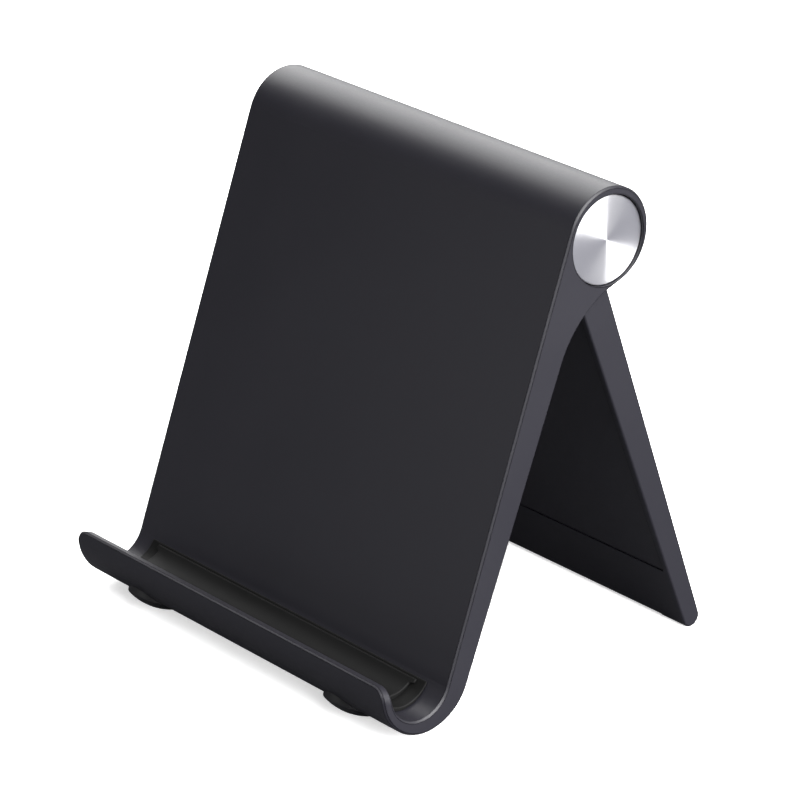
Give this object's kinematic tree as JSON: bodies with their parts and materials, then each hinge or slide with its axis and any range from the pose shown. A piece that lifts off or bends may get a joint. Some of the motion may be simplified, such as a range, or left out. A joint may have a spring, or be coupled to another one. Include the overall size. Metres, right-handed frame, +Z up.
{
  "type": "phone stand",
  "caption": "Folding desk stand for a phone: a hooked front panel and a rear leg that turns inside its barrel hinge and stays at any angle.",
  "frame": {"origin": "on the surface the stand rests on, under the middle of its outer box", "axes": "+X along the hinge to the user's right, +Y to the back, +Z up"},
  "size_m": [0.08, 0.0712, 0.0835],
  "materials": {
    "leaf_plastic": "fine matt black moulding",
    "leg_plastic": "fine matt black moulding",
    "pad_silicone": "soft matt silicone",
    "foot_rubber": "matt rubber",
    "cap_aluminium": "turned in fine circles, bright edge",
    "hinge_steel": "zinc plated",
    "insert_brass": "plain",
    "bush_plastic": "natural acetal",
    "tape_foam": "thin foam tape"
  },
  "bodies": {
    "leaf": {"front_leaf": "leaf_plastic", "hook_pad": "pad_silicone", "foot_left": "foot_rubber", "foot_right": "foot_rubber", "end_cap_left": "cap_aluminium", "end_cap_right": "cap_aluminium", "cap_tape_left": "tape_foam", "cap_tape_right": "tape_foam", "flat_washer_left": "hinge_steel", "flat_washer_right": "hinge_steel", "pivot_bush_left": "bush_plastic", "pivot_bush_right": "bush_plastic"},
    "leg": {"rear_leg": "leg_plastic", "leg_cover": "leg_plastic", "leg_foot": "foot_rubber", "pivot_screw_left": "hinge_steel", "pivot_screw_right": "hinge_steel", "spring_washer_left": "hinge_steel", "spring_washer_right": "hinge_steel", "thread_insert_left": "insert_brass", "thread_insert_right": "insert_brass"}
  },
  "joints": [
    {"name": "leg_hinge", "type": "hinge", "parent": "leaf", "child": "leg", "pos_m": [0, 0.01001, 0.07519], "axis": [1, 0, 0], "range_deg": [-41.18, 58.82]}
  ]
}
